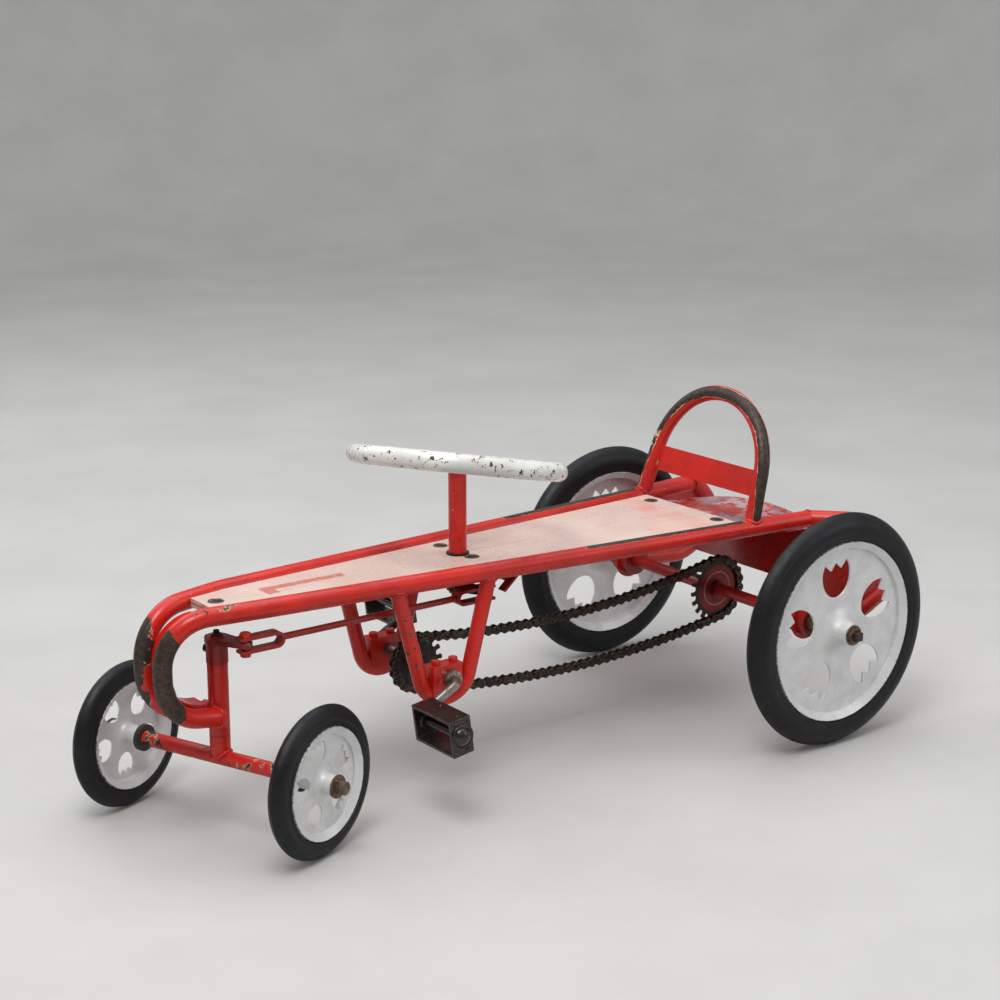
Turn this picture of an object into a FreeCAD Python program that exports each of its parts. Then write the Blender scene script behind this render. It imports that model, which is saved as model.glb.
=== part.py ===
# A child's pedal go kart: two bent rails welded to a head tube, a plank seat, a pivoting front
# axle steered by a drag link, and a chain from the crank to a live rear axle.
# Places are in millimetres from the middle of the rear axle: x forward, y to the rider's left
# and z up from the ground. The last step moves the whole kart so that its box is centred.
import FreeCAD
import Part
import Sketcher
import math
import os
from FreeCAD import Placement, Rotation, Vector

FORWARD = Vector(1, 0, 0)
LEFT = Vector(0, 1, 0)
UP = Vector(0, 0, 1)
SIDES = {"left": 1, "right": -1}

SIZES = {
    "wheelbase": (763.8, "rear axle to kingpin"),
    "rear_wheel_radius": (152.4, "12 inch wheel"),
    "front_wheel_radius": (88.9, "7 inch wheel"),
    "rear_half_track": (228.6, "middle of the kart to a rear wheel's middle plane"),
    "front_half_track": (142.6, "kingpin to a front wheel's middle plane, along the axle"),
    "steer_angle": (21.0, "front axle turned to the left"),
    "running_gap": (0.05, "radial clearance of a turning fit"),
    "rail_diameter": (22.2, "frame tube, outside"),
    "rail_wall": (1.5, "frame tube, wall"),
    "rail_rear_half_gap": (117.0, "rail's middle at its rear end"),
    "rail_rear_height": (265.0, "rail's middle at its rear end"),
    "nose_half_gap": (22.5, "rail's middle at the nose"),
    "nose_reach": (845.0, "rail's middle at the front of the nose"),
    "nose_bend": (56.0, "bend radius of the nose corners"),
    "hook_half_gap": (175.0, "rear hook's middle and axle plate"),
    "hook_reach": (-158.0, "rear hook's middle at the back"),
    "hook_bend": (60.0, "large bend radius of the rear hooks"),
    "axle_diameter": (16.0, "rear axle, crank axle and front axle rod"),
    "barrel_diameter": (40.0, "rear axle bearing barrel"),
    "plate_thickness": (2.5, "axle plate"),
    "hanger_diameter": (18.5, "crank hanger tube"),
    "hanger_place": (496.0, "crank hangers' middle"),
    "crank_place": (492.6, "crank axle from the rear axle"),
    "crank_height": (148.3, "crank axle above the ground"),
    "crank_length": (66.0, "crank axle to pedal spindle"),
    "crank_angle": (25.5, "left crank arm below the level"),
    "spindle_diameter": (12.0, "pedal spindle"),
    "arm_diameter": (11.5, "crank arm"),
    "hoop_diameter": (20.0, "seat hoop tube"),
    "hoop_lean": (17.2, "seat hoop leans back"),
    "hoop_rise": (154.2, "seat hoop's apex, along the leaning plane"),
    "board_thickness": (10.0, "seat board"),
    "board_tilt": (0.55, "seat board rises to the front"),
    "column_place": (427.0, "steering column from the rear axle"),
    "column_top": (380.0, "steering column's upper end"),
    "column_foot": (225.0, "steering column's lower end"),
    "rim_radius": (122.9, "steering wheel rim's middle"),
    "rim_thickness": (23.2, "steering wheel rim's section"),
    "rim_height": (388.0, "steering wheel's middle"),
    "arm_length": (42.0, "steering arms, pivot to link pin"),
    "link_height": (232.0, "drag link's middle"),
    "pin_diameter": (8.0, "drag link pins and rod"),
    "kingpin_diameter": (18.0, "kingpin in the head tube"),
    "head_diameter": (24.0, "head tube, outside"),
    "beam_diameter": (18.0, "front beam, outside"),
    "chain_pitch": (12.7, "half inch chain"),
    "roller_radius": (3.85, "chain roller"),
    "rear_teeth": (20.0, "sprocket on the rear axle"),
    "front_teeth": (16.0, "sprocket on the crank axle"),
    "chain_line": (5.0, "chain's middle plane, left of the kart's"),
    "sprocket_thickness": (2.8, "both sprockets"),
    "sheet_steel": (2.5, "wheel discs"),
}

doc = FreeCAD.newDocument("pedal_kart")
sheet = doc.addObject("Spreadsheet::Sheet", "Sizes")
for row, (alias, (value, meaning)) in enumerate(SIZES.items(), start=1):
    sheet.set(f"A{row}", meaning)
    sheet.set(f"B{row}", str(value))
    sheet.setAlias(f"B{row}", alias)
doc.recompute()

parts = {}


def size(alias):
    return float(sheet.get(alias))


# ---------------------------------------------------------------- building blocks

def bind(piece, **values):
    """Give an object's properties a number, or an expression on the sheet."""
    for name, value in values.items():
        if isinstance(value, str):
            piece.setExpression(name, value)
        else:
            setattr(piece, name, value)


def keep(label, piece):
    """Name a finished sub-part, which is written to a file of that name."""
    piece.Label = label
    parts[label] = piece
    return piece


def rod(name, radius, length, start, direction):
    piece = doc.addObject("Part::Cylinder", name)
    bind(piece, Radius=radius, Height=length)
    piece.Placement = Placement(start, Rotation(UP, direction))
    return piece


def box(name, length, width, height, corner):
    piece = doc.addObject("Part::Box", name)
    bind(piece, Length=length, Width=width, Height=height)
    piece.Placement = Placement(corner, Rotation())
    return piece


def fuse(name, pieces):
    piece = doc.addObject("Part::MultiFuse", name)
    piece.Shapes = pieces
    return piece


def cut(name, base, tools):
    piece = doc.addObject("Part::Cut", name)
    piece.Base = base
    piece.Tool = tools[0] if len(tools) == 1 else fuse(name + "_tools", tools)
    return piece


def group(name, pieces):
    piece = doc.addObject("Part::Compound", name)
    piece.Links = pieces
    return piece


def tube(name, outer, inner, length, start, direction):
    wall = rod(name + "_wall", outer, length, start, direction)
    bore = rod(name + "_bore", inner, length, start, direction)
    return cut(name, wall, [bore])


def rounded_route(points, radii):
    """Straight runs joined by tangent arcs, one radius for each corner."""
    edges = []
    start = points[0]
    for before, corner, after, radius in zip(points, points[1:], points[2:], radii):
        back = (before - corner).normalize()
        ahead = (after - corner).normalize()
        half_turn = back.getAngle(ahead) / 2
        reach = radius / math.tan(half_turn)
        middle = (back + ahead).normalize()
        nearest = corner + middle * (radius / math.sin(half_turn) - radius)
        edges.append(Part.makeLine(start, corner + back * reach))
        edges.append(Part.Arc(corner + back * reach, nearest, corner + ahead * reach).toShape())
        start = corner + ahead * reach
    edges.append(Part.makeLine(start, points[-1]))
    return Part.Wire(edges)


def swept_rod(name, spine, radius):
    first = spine.Shape.Edges[0]
    ring = doc.addObject("Part::Circle", name + "_ring")
    bind(ring, Radius=radius)
    ring.Placement = Placement(first.valueAt(first.FirstParameter), Rotation(UP, first.tangentAt(0)))
    piece = doc.addObject("Part::Sweep", name)
    piece.Sections = [ring]
    piece.Spine = (spine, [f"Edge{number + 1}" for number in range(len(spine.Shape.Edges))])
    piece.Solid = True
    return piece


def bent_tube(name, points, radii, diameter, wall):
    """A bent tube, and the solid bar of its outside, which cuts what is welded to it."""
    spine = doc.addObject("Part::Feature", name + "_route")
    spine.Shape = rounded_route(points, radii)
    bar = swept_rod(name + "_bar", spine, f"{diameter} / 2")
    core = swept_rod(name + "_core", spine, f"{diameter} / 2 - {wall}")
    return cut(name + "_tube", bar, [core]), bar


def sketch_on(body, role, name):
    plane = next(item for item in body.Origin.OriginFeatures if item.Role == role)
    sketch = body.newObject("Sketcher::SketchObject", name)
    sketch.AttachmentSupport = (plane, [""])
    sketch.MapMode = "FlatFace"
    return sketch


def draw_outline(sketch, start, steps):
    """A closed outline: each step is the next point, or an arc's middle and end points."""
    here = Vector(*start, 0)
    for step in steps:
        if isinstance(step[0], tuple):
            middle, end = (Vector(*point, 0) for point in step)
            sketch.addGeometry(Part.Arc(here, middle, end))
        else:
            end = Vector(*step, 0)
            sketch.addGeometry(Part.LineSegment(here, end))
        here = end


def draw_circle(sketch, centre, radius):
    """A circle whose radius is an expression on the sheet."""
    number = sketch.addGeometry(Part.Circle(Vector(*centre, 0), UP, 1))
    constraint = sketch.addConstraint(Sketcher.Constraint("Radius", number, 1))
    sketch.setExpression(f"Constraints[{constraint}]", radius)


def turned_body(name, start, steps):
    """A body of revolution about its own z axis, from an outline of (radius, height) points."""
    body = doc.addObject("PartDesign::Body", name)
    sketch = sketch_on(body, "XZ_Plane", name + "_section")
    draw_outline(sketch, start, steps)
    turned = body.newObject("PartDesign::Revolution", name + "_turned")
    turned.Profile = sketch
    turned.ReferenceAxis = (sketch, ["V_Axis"])
    turned.Angle = 360
    return body


def padded_body(name, role, length, midplane=False):
    """A body with an empty sketch and the pad that raises it."""
    body = doc.addObject("PartDesign::Body", name)
    sketch = sketch_on(body, role, name + "_outline")
    pad = body.newObject("PartDesign::Pad", name + "_pad")
    pad.Profile = sketch
    pad.Midplane = midplane
    bind(pad, Length=length)
    return body, sketch


def pocket_round(body, name, start, steps, depth, count):
    """Cut an outline on the body's XY plane, both ways, repeated about its z axis."""
    sketch = sketch_on(body, "XY_Plane", name + "_outline")
    draw_outline(sketch, start, steps)
    pocket = body.newObject("PartDesign::Pocket", name)
    pocket.Profile = sketch
    pocket.Midplane = True
    bind(pocket, Length=depth)
    doc.recompute()
    pattern = body.newObject("PartDesign::PolarPattern", name + "_ring")
    pattern.Originals = [pocket]
    pattern.Axis = (sketch, ["N_Axis"])
    pattern.Angle = 360
    bind(pattern, Occurrences=count)
    body.Tip = pattern


def facing(side, turn=0.0, yaw=0.0):
    """Lay a piece's own z axis outboard, after turning the piece about that axis."""
    lay = Rotation(FORWARD, -90 * side)
    return Rotation(UP, yaw) * lay * Rotation(UP, -side * turn)


def dome(radius, height):
    """The steps of a spherical cap's outline, from its rim up to its top on the axis."""
    ball = (radius ** 2 + height ** 2) / (2 * height)
    half_angle = math.asin(radius / ball) / 2
    return (ball * math.sin(half_angle), height - ball + ball * math.cos(half_angle)), (0, height)


def mirrored(points, side):
    return [Vector(point[0], side * point[1], point[2]) for point in points]


# ---------------------------------------------------------------- frame

def rail_height(x):
    """Height of a rail's middle along its straight run."""
    return size("rail_rear_height") + 0.0096 * (x + 58)


def rail_half_gap(x):
    """Half the distance between the rails' middles along the straight run."""
    return size("rail_rear_half_gap") - 0.0889 * (x + 58)


RAIL_END = -58.0
RAIL_BEND = 735.0

rails = {}
rail_bars = {}
for name, side in SIDES.items():
    nose_y = size("nose_half_gap")
    route = [
        (770, 13.5, 143),
        (size("nose_reach"), nose_y, 157),
        (size("nose_reach"), nose_y, 270),
        (RAIL_BEND, rail_half_gap(RAIL_BEND), rail_height(RAIL_BEND)),
        (RAIL_END, rail_half_gap(RAIL_END), rail_height(RAIL_END)),
    ]
    bends = [size("nose_bend"), size("nose_bend"), 150]
    rails[name], rail_bars[name] = bent_tube(
        name + "_rail", mirrored(route, side), bends, "Sizes.rail_diameter", "Sizes.rail_wall")

head_bar = rod("head_bar", "Sizes.head_diameter / 2", 86, Vector(size("wheelbase"), 0, 118), UP)
keep("head_tube", tube(
    "head", "Sizes.head_diameter / 2", "Sizes.kingpin_diameter / 2 + Sizes.running_gap", 86,
    Vector(size("wheelbase"), 0, 118), UP))
for name in SIDES:
    keep(name + "_rail", cut(name + "_rail_cut", rails[name], [head_bar]))


def axle_plate(name, side):
    """The plate that fills a rear hook, with a lobe round the axle."""
    axle_height = size("rear_wheel_radius")
    lobe = 26.0
    body, sketch = padded_body(name, "XZ_Plane", "Sizes.plate_thickness", midplane=True)
    draw_outline(sketch, (lobe, axle_height), [
        (-18, 256),
        (-92, 258),
        (-148, 213),
        (size("hook_reach") + 2, 174),
        (-97, 146),
        (-lobe, 151.5),
        ((0, axle_height - lobe), (lobe, axle_height)),
    ])
    body.Placement = Placement(Vector(0, side * size("hook_half_gap"), 0), Rotation())
    return body


barrels = []
for name, side in SIDES.items():
    hook_y = size("hook_half_gap")
    back = size("hook_reach")
    top = size("rail_rear_height")
    route = [
        (RAIL_END, rail_half_gap(RAIL_END), top),
        (-100, 168, top + 1.5),
        (-150, hook_y, 215),
        (back, hook_y, 172),
        (-95, hook_y, 143),
        (-12, hook_y, 151.5),
    ]
    bends = [30, size("hook_bend"), 28, size("hook_bend")]
    hook, hook_bar = bent_tube(
        name + "_hook", mirrored(route, side), bends, "Sizes.rail_diameter", "Sizes.rail_wall")
    axle_point = Vector(0, side * 160, size("rear_wheel_radius"))
    barrel_bar = rod(name + "_barrel_bar", "Sizes.barrel_diameter / 2", 30, axle_point, LEFT * side)
    keep(name + "_rear_hook", cut(name + "_hook_cut", hook, [rail_bars[name], barrel_bar]))
    plate = axle_plate(name + "_plate_blank", side)
    keep(name + "_axle_plate", cut(name + "_plate_cut", plate, [hook_bar, barrel_bar]))
    barrels.append(tube(
        name + "_barrel", "Sizes.barrel_diameter / 2", "Sizes.axle_diameter / 2 + Sizes.running_gap",
        30, axle_point, LEFT * side))
keep("axle_bearings", group("barrels", barrels))


def on_hoop(y, along):
    """A point of the seat hoop's leaning plane."""
    lean = math.radians(size("hoop_lean"))
    return Vector(36.3 - along * math.sin(lean), y, 268.0 + along * math.cos(lean))


hoop_route = [
    on_hoop(107.5, 0),
    on_hoop(91.6, size("hoop_rise") + 3.4),
    on_hoop(-91.6, size("hoop_rise") + 3.4),
    on_hoop(-107.5, 0),
]
hoop, hoop_bar = bent_tube("hoop", hoop_route, [100.5, 100.5], "Sizes.hoop_diameter", "Sizes.rail_wall")
keep("seat_hoop", cut("hoop_cut", hoop, list(rail_bars.values())))

strip = box("backrest_strip", 3, 200, 34, Vector(-1.5, -100, 36.5))
strip.Placement = Placement(on_hoop(0, 0), Rotation(LEFT, -size("hoop_lean"))) * strip.Placement
keep("backrest_bar", cut("backrest_cut", strip, [hoop_bar]))


def hanger_point(along, z, side):
    """A point of the upright plane under a rail that holds a crank hanger."""
    slant = math.atan(0.0889)
    middle = size("hanger_place")
    y = rail_half_gap(middle) - along * math.sin(slant)
    return Vector(middle + along * math.cos(slant), side * y, z)


hanger_bars = {}
for name, side in SIDES.items():
    route = [hanger_point(-64.3, 271, side), hanger_point(0, 19, side), hanger_point(64.3, 271, side)]
    hanger, hanger_bars[name] = bent_tube(
        name + "_hanger_pipe", route, [34], "Sizes.hanger_diameter", "Sizes.rail_wall")
    keep(name + "_hanger", cut(name + "_hanger_cut", hanger, [rail_bars[name]]))


# ---------------------------------------------------------------- crank bearings

BLOCK_TOP = 166.0
BOLT_PLACES = (483.0, 508.0)

blocks = []
bolts = []
for name, side in SIDES.items():
    block_y = 67 * side
    block = box(name + "_block", 42, 20, 38, Vector(476, block_y - 10, BLOCK_TOP - 38))
    crank_point = Vector(size("crank_place"), block_y - 12, size("crank_height"))
    bore = rod(name + "_crank_bore", "Sizes.axle_diameter / 2 + Sizes.running_gap", 24, crank_point, LEFT)
    holes = []
    for number, x in enumerate(BOLT_PLACES):
        head = rod(f"{name}_bolt_head{number}", 5.5, 5, Vector(x, block_y, BLOCK_TOP), UP)
        shank = rod(f"{name}_bolt_shank{number}", 3, 8, Vector(x, block_y, BLOCK_TOP), -UP)
        bolts.append(fuse(f"{name}_bolt{number}", [head, shank]))
        holes.append(shank)
    blocks.append(cut(name + "_block_cut", block, [hanger_bars[name], bore] + holes))
keep("crank_bearings", group("blocks", blocks))
keep("crank_bearing_bolts", group("block_bolts", bolts))


# ---------------------------------------------------------------- seat board and sheet metal

SCREW_PLACES = ((765.0, 3.6), (424.0, -41.0), (421.5, 22.0), (61.5, -62.0), (57.0, 63.5))
BOARD_TOP = 270.0
BUSH_RADIUS = 14.0
SCREW_RADIUS = 7.5
SCREW_SINK = 0.4
board_place = Placement(Vector(0, 0, BOARD_TOP), Rotation(LEFT, -size("board_tilt")))

board, board_sketch = padded_body("board_blank", "XY_Plane", "Sizes.board_thickness")
corners = [(44.5, 91.2), (RAIL_BEND, 33.5), (782.0, 23.4)]
mirror_corners = [(x, -y) for x, y in reversed(corners)]
draw_outline(board_sketch, corners[0], corners[1:] + mirror_corners + [corners[0]])
draw_circle(board_sketch, (size("column_place"), 0), str(BUSH_RADIUS + 0.3))
for place in SCREW_PLACES:
    draw_circle(board_sketch, place, "2.2")
body_drop = Placement(Vector(0, 0, -size("board_thickness")), Rotation())
board.Placement = board_place * body_drop

screws = []
sinks = []
for number, (x, y) in enumerate(SCREW_PLACES):
    screw = turned_body(f"screw{number}", (SCREW_RADIUS, 0), [
        dome(SCREW_RADIUS, 2), (0, -9), (2.2, -9), (2.2, 0), (SCREW_RADIUS, 0)])
    screw.Placement = board_place * Placement(Vector(x, y, -SCREW_SINK), Rotation())
    screws.append(screw)
    sink = rod(f"screw_sink{number}", SCREW_RADIUS + 0.1, 2, Vector(0, 0, -SCREW_SINK), UP)
    sink.Placement = board_place * Placement(Vector(x, y, 0), Rotation()) * sink.Placement
    sinks.append(sink)
keep("board_screws", group("screws", screws))
keep("seat_board", cut("board_cut", board, sinks))


def board_underside(x):
    """Height of the board's lower face on the kart's middle plane."""
    tilt = math.radians(size("board_tilt"))
    return BOARD_TOP + x * math.tan(tilt) - size("board_thickness") / math.cos(tilt)


bracket, bracket_sketch = padded_body("bracket_blank", "XZ_Plane", 118, midplane=True)
bracket_top = board_underside(363.5) - 0.02
draw_outline(bracket_sketch, (452, board_underside(452) - 0.02), [
    (363.5, bracket_top), (398.0, 233.5), (399.8, 235.3), (370.5, bracket_top - 2.5),
    (452, bracket_top - 2.5), (452, board_underside(452) - 0.02)])
column_point = Vector(size("column_place"), 0, 244)
bearing = rod("column_bearing", 15, 18, column_point, UP)
column_hole = rod("column_hole", "Sizes.rail_diameter / 2 + Sizes.running_gap", 60, column_point, UP)
link_notch = box("link_notch", 30, 26, 16, Vector(380, 20, 228))
keep("column_bracket", cut("bracket_cut", fuse("bracket_whole", [bracket, bearing]), [
    column_hole, link_notch] + screws + list(hanger_bars.values())))

collar_point = Vector(size("column_place"), 0, 265)
keep("column_collar", tube(
    "column_ring", str(BUSH_RADIUS), "Sizes.rail_diameter / 2 + Sizes.running_gap", 11.2, collar_point, UP))


def nose_strip():
    """The strap bent round inside the nose, between the two rails."""
    body, sketch = padded_body("nose_strap", "XZ_Plane", 28, midplane=True)
    x, z, outer, inner = 788, 213, 52.5, 50
    draw_outline(sketch, (x, z + outer), [
        ((x + outer, z), (x, z - outer)), (x, z - inner), ((x + inner, z), (x, z + inner)), (x, z + outer)])
    return body


keep("nose_strip", cut("nose_strip_cut", nose_strip(), list(rail_bars.values())))


def cowl_section(y):
    """The folded sheet behind the board, cut at one distance from the kart's middle."""
    sheet_wall = 1.5
    bend = 15.0
    front = Vector(75, y, 260)
    crest = Vector(-122, y, 256 - 12.5 * (y / 95) ** 2)
    foot = Vector(-57, y, 173)
    ahead = (front - crest).normalize()
    down = (foot - crest).normalize()
    half_angle = ahead.getAngle(down) / 2
    inner_crest = crest + (ahead + down).normalize() * (sheet_wall / math.sin(half_angle))
    inner_foot = foot + Vector(-down.z, 0, down.x) * sheet_wall
    inner_front = front - UP * sheet_wall
    outside = rounded_route([front, crest, foot], [bend])
    inside = rounded_route([inner_front, inner_crest, inner_foot], [bend - sheet_wall])
    ends = [Part.makeLine(front, inner_front), Part.makeLine(foot, inner_foot)]
    return Part.Wire(Part.__sortEdges__(outside.Edges + inside.Edges + ends))


cowl = doc.addObject("Part::Feature", "cowl_blank")
cowl.Shape = Part.makeLoft([cowl_section(y) for y in (-104, -52, 0, 52, 104)], True, False)
keep("rear_cowl", cut("cowl_cut", cowl, list(rail_bars.values()) + [board] + screws))


# ---------------------------------------------------------------- wheels

def wheel_disc(name, lip, half_width, hub_foot, hub_out, hub_in, bore):
    """A pressed disc with its rim channel and flared hub, outboard along +z."""
    steel = size("sheet_steel")
    seat = lip - 7.2
    face = 3.5 + steel / 2
    back = 3.5 - steel / 2
    boss = 15.0 if lip > 100 else 12.0
    flare = hub_foot - boss
    return turned_body(name, (bore, hub_out), [
        (boss, hub_out),
        (boss, face + flare * 0.75),
        ((boss + flare * 0.25, face + flare * 0.2), (hub_foot, face)),
        (seat - steel, face),
        (seat - steel, half_width - 4.8),
        (lip - 1, half_width + 0.8),
        (lip, half_width - 1.5),
        (seat, half_width - 6),
        (seat, 6 - half_width),
        (lip, 1.5 - half_width),
        (lip - 1, -half_width - 0.8),
        (seat - steel, 4.8 - half_width),
        (seat - steel, back),
        (hub_foot, back),
        ((boss + flare * 0.25, back - flare * 0.2), (boss, back - flare * 0.75)),
        (boss, -hub_in),
        (bore, -hub_in),
        (bore, hub_out),
    ])


def cut_tulips(body, scale):
    """Five tulip-shaped openings through the disc, one pointing along +x."""
    def spot(radius, across):
        return radius * scale, across * scale

    pocket_round(body, body.Name + "_tulip", spot(44.5, 0), [
        (spot(53, 17), spot(68, 24)),
        (spot(80.5, 24.3), spot(92, 19)),
        spot(82.2, 9),
        spot(91.5, 0),
        spot(82.2, -9),
        spot(92, -19),
        (spot(80.5, -24.3), spot(68, -24)),
        (spot(53, -17), spot(44.5, 0)),
    ], 30, 5)


def tyre(name, radius, lip, half_width, flank, bulge):
    """A solid rubber tyre that sits in the rim channel."""
    seat = lip - 7.2
    shoulder = lip + 0.25 * (radius - lip)
    crown = shoulder + 0.72 * (radius - shoulder)
    return turned_body(name, (seat, 6 - half_width), [
        (seat, half_width - 6),
        (lip, half_width - 1.5),
        (lip + 1.2, half_width + 0.6),
        ((lip + 0.4 * (shoulder - lip), flank), (shoulder, bulge)),
        ((crown, 0.72 * bulge), (radius, 0)),
        ((crown, -0.72 * bulge), (shoulder, -bulge)),
        ((lip + 0.4 * (shoulder - lip), -flank), (lip + 1.2, -half_width - 0.6)),
        (lip, 1.5 - half_width),
        (seat, 6 - half_width),
    ])


REAR_LIP = 117.7
FRONT_LIP = 65.9
REAR_HUB_OUT = 30.0
REAR_HUB_IN = 26.0
FRONT_HUB_OUT = 22.4
FRONT_HUB_IN = 23.0
REAR_TURNS = {"left": 11.9, "right": 18.2}
FRONT_TURNS = {"left": 7.3, "right": 57.0}
yaw = size("steer_angle")
yaw_rad = math.radians(yaw)
kingpin_foot = Vector(size("wheelbase"), 0, size("front_wheel_radius"))
axle_way = Vector(-math.sin(yaw_rad), math.cos(yaw_rad), 0)

for name, side in SIDES.items():
    clearance = 0 if name == "left" else size("running_gap")
    rear_place = Placement(
        Vector(0, side * size("rear_half_track"), size("rear_wheel_radius")), facing(side, REAR_TURNS[name]))
    disc = wheel_disc(
        name + "_rear_disc", REAR_LIP, 13.5, 39, REAR_HUB_OUT, REAR_HUB_IN,
        size("axle_diameter") / 2 + clearance)
    cut_tulips(disc, 1.0)
    rubber = tyre(name + "_rear_tyre", size("rear_wheel_radius"), REAR_LIP, 13.5, 14.7, 15.0)
    disc.Placement = rear_place
    rubber.Placement = rear_place
    keep(name + "_rear_disc", disc)
    keep(name + "_rear_tyre", rubber)

    front_place = Placement(
        kingpin_foot + axle_way * side * size("front_half_track"), facing(side, FRONT_TURNS[name], yaw))
    disc = wheel_disc(
        name + "_front_disc", FRONT_LIP, 11.8, 22.5, FRONT_HUB_OUT, FRONT_HUB_IN,
        size("axle_diameter") / 2 + size("running_gap"))
    cut_tulips(disc, 0.54)
    rubber = tyre(name + "_front_tyre", size("front_wheel_radius"), FRONT_LIP, 11.8, 11.9, 11.0)
    disc.Placement = front_place
    rubber.Placement = front_place
    keep(name + "_front_disc", disc)
    keep(name + "_front_tyre", rubber)


# ---------------------------------------------------------------- rear axle

AXLE_END = 270.5
HUB_FACE = size("rear_half_track") + REAR_HUB_OUT
axle_height = size("rear_wheel_radius")

shaft = rod("shaft_round", "Sizes.axle_diameter / 2", 2 * 264, Vector(0, -264, axle_height), LEFT)
square = box("shaft_square", 10.6, 2 * AXLE_END, 10.6, Vector(-5.3, -AXLE_END, axle_height - 5.3))
keep("rear_axle_shaft", fuse("shaft", [shaft, square]))

washers = []
nuts = []
for name, side in SIDES.items():
    out = LEFT * side
    spacer_point = Vector(0, side * 190.5, axle_height)
    washer_point = Vector(0, side * (HUB_FACE + 0.2 * (side < 0)), axle_height)
    washers.append(tube(name + "_spacer", 13.5, "Sizes.axle_diameter / 2", 11.6, spacer_point, out))
    washers.append(tube(name + "_axle_washer", 13, "Sizes.axle_diameter / 2", 1.6, washer_point, out))
    nut, nut_sketch = padded_body(name + "_nut_blank", "XY_Plane", 3.6)
    hexagon = [(11 * math.cos(math.radians(60 * i)), 11 * math.sin(math.radians(60 * i))) for i in range(6)]
    draw_outline(nut_sketch, hexagon[0], hexagon[1:] + [hexagon[0]])
    draw_circle(nut_sketch, (0, 0), "Sizes.axle_diameter / 2")
    nut.Placement = Placement(washer_point + out * 1.6, facing(side, 12))
    nuts.append(nut)
keep("rear_axle_washers", group("rear_washers", washers))
keep("rear_axle_nuts", group("rear_nuts", nuts))


# ---------------------------------------------------------------- chain drive

def pitch_radius(teeth):
    return size("chain_pitch") / (2 * math.sin(math.pi / teeth))


def sprocket(name, teeth, first_pin, hub_radius):
    """A toothed plate: a round blank with one roller gap cut and repeated."""
    radius = pitch_radius(teeth)
    tip = radius + 4.1
    gap = size("roller_radius") + 0.2
    body, sketch = padded_body(name, "XY_Plane", "Sizes.sprocket_thickness", midplane=True)
    draw_circle(sketch, (0, 0), str(tip))
    draw_circle(sketch, (0, 0), "Sizes.axle_diameter / 2")
    doc.recompute()
    whole = body.Shape.Volume
    lean = math.radians(20)
    foot = (radius + gap * math.sin(lean), gap * math.cos(lean))
    mouth = (tip + 1, foot[1] + (tip + 1 - foot[0]) * math.tan(lean))
    pocket_round(body, name + "_gap", (foot[0], foot[1]), [
        ((radius - gap, 0), (foot[0], -foot[1])),
        (mouth[0], -mouth[1]),
        mouth,
        foot,
    ], 10, teeth)
    doc.recompute()
    assert body.Shape.Volume < 0.95 * whole
    ring, hub_sketch = padded_body(name + "_hub", "XY_Plane", 14, midplane=True)
    draw_circle(hub_sketch, (0, 0), str(hub_radius))
    draw_circle(hub_sketch, (0, 0), "Sizes.axle_diameter / 2")
    whole_sprocket = fuse(name + "_whole", [body, ring])
    whole_sprocket.Placement = Placement(Vector(0, 0, 0), facing(1, first_pin))
    return whole_sprocket


REAR_FIRST_PIN = 79.0
FRONT_FIRST_PIN = -81.0
REAR_PINS = 11
FRONT_PINS = 9
LOWER_PITCHES = 40
UPPER_PITCHES = 38
crank_centre = Vector(size("crank_place"), 0, size("crank_height"))
rear_centre = Vector(0, 0, axle_height)
chain_shift = Vector(0, size("chain_line"), 0)


def polar(centre, radius, degrees):
    angle = math.radians(degrees)
    return centre + Vector(radius * math.cos(angle), 0, radius * math.sin(angle))


def hanging_pins(start, end, pitches, direction):
    """Pins of a slack run: equal chords on the shallow arc that just fits them."""
    pitch = size("chain_pitch")
    span = (end - start).Length
    low, high = 1e-6, 2 * math.pi / pitches
    for _ in range(60):
        turn = (low + high) / 2
        if math.sin(pitches * turn / 2) / math.sin(turn / 2) * pitch > span:
            low = turn
        else:
            high = turn
    base = math.atan2(end.z - start.z, end.x - start.x)
    pins = []
    here = start
    for number in range(pitches - 1):
        heading = base + direction * ((pitches - 1) / 2 - number) * turn
        here = here + Vector(pitch * math.cos(heading), 0, pitch * math.sin(heading))
        pins.append(here)
    return pins


def chain_pins():
    """Every pin of the closed chain, round the rear sprocket first."""
    rear_radius = pitch_radius(size("rear_teeth"))
    front_radius = pitch_radius(size("front_teeth"))
    rear_step = 360 / size("rear_teeth")
    front_step = 360 / size("front_teeth")
    rear = [polar(rear_centre, rear_radius, REAR_FIRST_PIN + rear_step * k) for k in range(REAR_PINS)]
    front = [polar(crank_centre, front_radius, FRONT_FIRST_PIN + front_step * k) for k in range(FRONT_PINS)]
    lower = hanging_pins(rear[-1], front[0], LOWER_PITCHES, -1)
    upper = hanging_pins(front[-1], rear[0], UPPER_PITCHES, 1)
    return rear + lower + front + upper


def link_plate(y, thickness, half_height):
    """A waisted plate with round ends, one pitch long from the origin along x."""
    pitch = size("chain_pitch")
    waist = 0.7 * half_height
    ends = [Part.makeCylinder(half_height, thickness, Vector(x, y, 0), LEFT) for x in (0, pitch)]
    bar = Part.makeBox(pitch, thickness, 2 * waist, Vector(0, y, -waist))
    return ends[0].multiFuse([ends[1], bar]).removeSplitter()


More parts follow.
